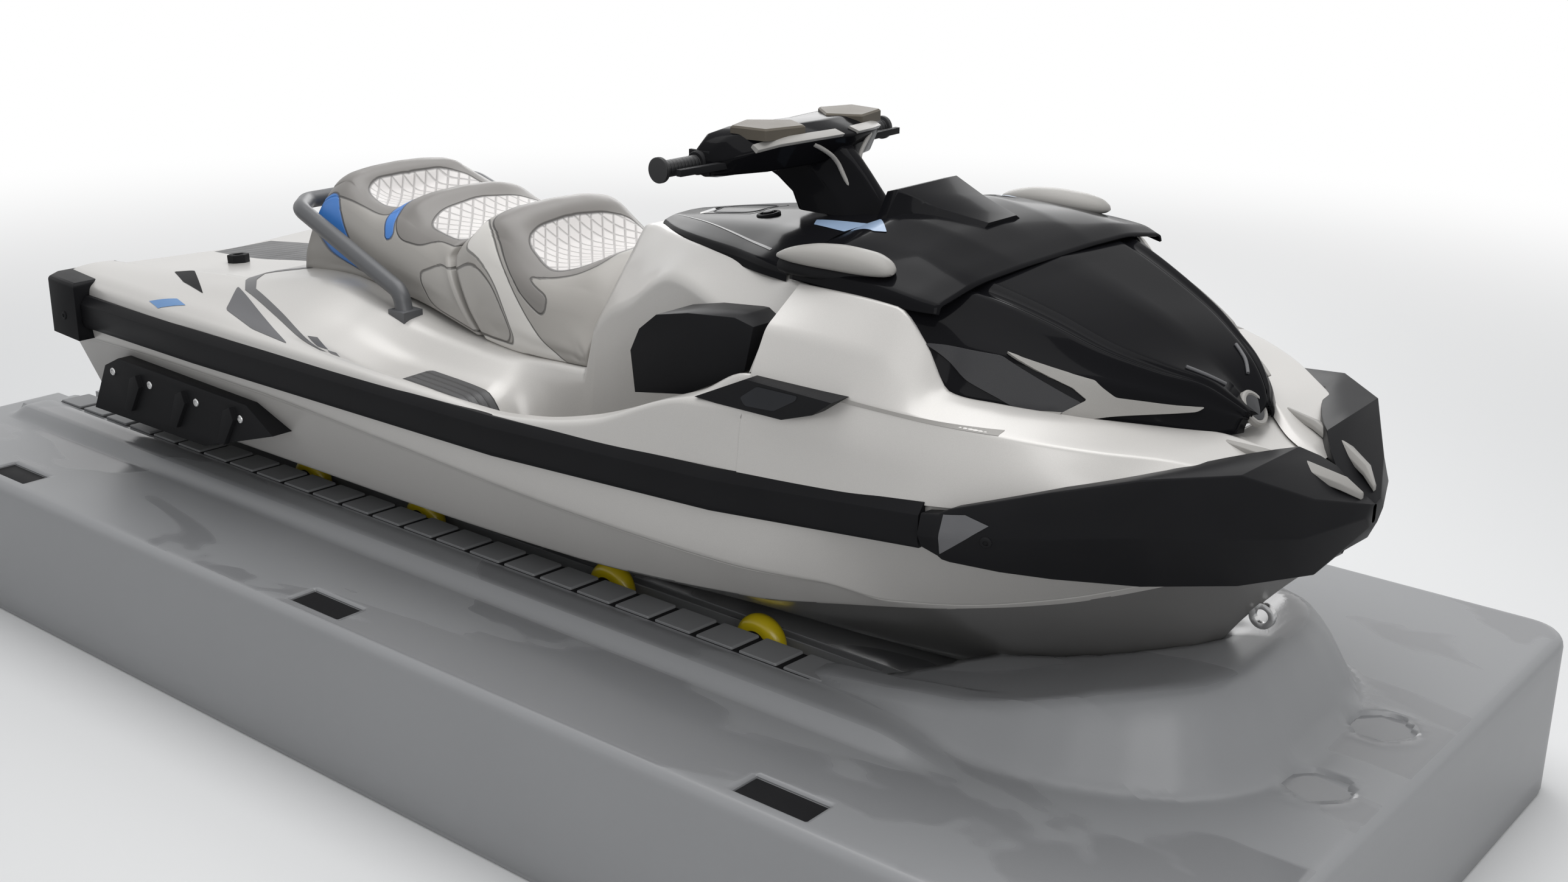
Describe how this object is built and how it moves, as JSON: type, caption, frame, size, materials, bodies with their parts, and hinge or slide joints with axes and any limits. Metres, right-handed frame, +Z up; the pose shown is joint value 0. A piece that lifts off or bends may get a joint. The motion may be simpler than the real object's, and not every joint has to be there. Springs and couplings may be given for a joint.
{
  "type": "personal watercraft on its drive-on float",
  "caption": "Three-seat personal watercraft with hood, steering, jet pump and fenders, standing on the moulded roller float that cradles it.",
  "frame": {"origin": "on the floor under the middle of the float", "axes": "+X towards the bow, +Y to port, +Z up"},
  "size_m": [4.05, 1.77, 1.428],
  "materials": {
    "hull_paint": "pearl silver over darker grey below the chine",
    "deck_paint": "pearl silver-white",
    "black_gloss": "gloss black",
    "black_matt": "textured black",
    "bumper_rubber": "satin black",
    "seat_vinyl": "taupe-grey marine vinyl",
    "mat_foam": "grooved traction foam",
    "rail_grey": "dark grey satin",
    "silver_trim": "silver paint",
    "cast_alloy": "cast and bead blasted",
    "stainless": "polished",
    "engine_cast": "plain block",
    "float_plastic": "rotomoulded grey, wet",
    "roller_yellow": "yellow polyurethane",
    "display_glass": "dark display"
  },
  "bodies": {
    "craft": {"bow_bumper": "bumper_rubber", "bow_deck": "deck_paint", "bow_pad": "roller_yellow", "cargo_anchors": "black_matt", "console": "black_gloss", "driver_seat": "seat_vinyl", "engine_block": "engine_cast", "fender_mount_port": "black_matt", "fender_mount_starboard": "black_matt", "fender_port": "bumper_rubber", "fender_starboard": "bumper_rubber", "float": "float_plastic", "float_fittings": "black_matt", "grab_rail": "rail_grey", "hull": "hull_paint", "intake_grate": "cast_alloy", "key_post": "black_matt", "knee_deck": "deck_paint", "lid_pins": "stainless", "passenger_seat": "seat_vinyl", "pump_housing": "cast_alloy", "rear_deck_mat": "mat_foam", "ride_plate": "black_matt", "rub_rail_port": "bumper_rubber", "rub_rail_starboard": "bumper_rubber", "sponson_port": "black_matt", "sponson_starboard": "black_matt", "steering_column": "black_matt", "step_brackets": "stainless", "stern_bumper_port": "bumper_rubber", "stern_bumper_starboard": "bumper_rubber", "stern_deck": "deck_paint", "towing_eyes": "stainless", "well_deck": "deck_paint"},
    "hood": {"hood": "black_gloss", "hood_spears": "silver_trim", "wind_deflector": "black_gloss", "gauge": "display_glass", "mirror_port": "silver_trim", "mirror_starboard": "silver_trim"},
    "steering": {"steering_cover": "black_gloss", "bar_pad": "black_matt", "handlebar": "stainless", "grips": "bumper_rubber", "levers": "black_matt"},
    "glove_lid": {"glove_lid": "black_gloss"},
    "jet_nozzle": {"jet_nozzle": "cast_alloy"},
    "reverse_bucket": {"reverse_bucket": "cast_alloy"},
    "impeller": {"impeller": "stainless"},
    "boarding_step": {"boarding_step": "black_matt"},
    "roller_port_1": {"roller_port_1": "roller_yellow"},
    "roller_port_2": {"roller_port_2": "roller_yellow"},
    "roller_port_3": {"roller_port_3": "roller_yellow"},
    "roller_port_4": {"roller_port_4": "roller_yellow"},
    "roller_port_5": {"roller_port_5": "roller_yellow"},
    "roller_starboard_1": {"roller_starboard_1": "roller_yellow"},
    "roller_starboard_2": {"roller_starboard_2": "roller_yellow"},
    "roller_starboard_3": {"roller_starboard_3": "roller_yellow"},
    "roller_starboard_4": {"roller_starboard_4": "roller_yellow"},
    "roller_starboard_5": {"roller_starboard_5": "roller_yellow"}
  },
  "joints": [
    {"name": "hood_hinge", "type": "hinge", "parent": "craft", "child": "hood", "pos_m": [1.633, 0, 0.984], "axis": [0, 1, 0], "range_deg": [0, 50]},
    {"name": "steering_turn", "type": "hinge", "parent": "craft", "child": "steering", "pos_m": [0.653, 0, 1.23], "axis": [-0.4226, 0, 0.9063], "range_deg": [-22, 22]},
    {"name": "nozzle_turn", "type": "hinge", "parent": "craft", "child": "jet_nozzle", "pos_m": [-1.41, 0, 0.458], "axis": [0, 0, 1], "range_deg": [-22, 22]},
    {"name": "bucket_swing", "type": "hinge", "parent": "craft", "child": "reverse_bucket", "pos_m": [-1.363, 0, 0.458], "axis": [0, -1, 0], "range_deg": [0, 56]},
    {"name": "impeller_spin", "type": "hinge", "parent": "craft", "child": "impeller", "pos_m": [-1.23, 0, 0.458], "axis": [1, 0, 0], "continuous": true},
    {"name": "glove_lid_hinge", "type": "hinge", "parent": "craft", "child": "glove_lid", "pos_m": [0.321, 0, 1.184], "axis": [0, -1, 0], "range_deg": [0, 75]},
    {"name": "boarding_step_hinge", "type": "hinge", "parent": "craft", "child": "boarding_step", "pos_m": [-1.533, 0, 0.526], "axis": [0, -1, 0], "range_deg": [0, 178]},
    {"name": "roller_starboard_1_spin", "type": "hinge", "parent": "craft", "child": "roller_starboard_1", "pos_m": [-1.79, -0.27, 0.34018], "axis": [0, 1, 0], "continuous": true},
    {"name": "roller_starboard_2_spin", "type": "hinge", "parent": "craft", "child": "roller_starboard_2", "pos_m": [-0.895, -0.27, 0.34018], "axis": [0, 1, 0], "continuous": true},
    {"name": "roller_starboard_3_spin", "type": "hinge", "parent": "craft", "child": "roller_starboard_3", "pos_m": [-0.435, -0.27, 0.34018], "axis": [0, 1, 0], "continuous": true},
    {"name": "roller_starboard_4_spin", "type": "hinge", "parent": "craft", "child": "roller_starboard_4", "pos_m": [0.225, -0.27, 0.34018], "axis": [0, 1, 0], "continuous": true},
    {"name": "roller_starboard_5_spin", "type": "hinge", "parent": "craft", "child": "roller_starboard_5", "pos_m": [0.675, -0.27, 0.34018], "axis": [0, 1, 0], "continuous": true},
    {"name": "roller_port_1_spin", "type": "hinge", "parent": "craft", "child": "roller_port_1", "pos_m": [-1.79, 0.27, 0.34018], "axis": [0, 1, 0], "continuous": true},
    {"name": "roller_port_2_spin", "type": "hinge", "parent": "craft", "child": "roller_port_2", "pos_m": [-0.895, 0.27, 0.34018], "axis": [0, 1, 0], "continuous": true},
    {"name": "roller_port_3_spin", "type": "hinge", "parent": "craft", "child": "roller_port_3", "pos_m": [-0.435, 0.27, 0.34018], "axis": [0, 1, 0], "continuous": true},
    {"name": "roller_port_4_spin", "type": "hinge", "parent": "craft", "child": "roller_port_4", "pos_m": [0.225, 0.27, 0.34018], "axis": [0, 1, 0], "continuous": true},
    {"name": "roller_port_5_spin", "type": "hinge", "parent": "craft", "child": "roller_port_5", "pos_m": [0.675, 0.27, 0.34018], "axis": [0, 1, 0], "continuous": true}
  ],
  "couplings": [
    {"joint": "nozzle_turn", "follows": "steering_turn", "ratio": -1}
  ]
}
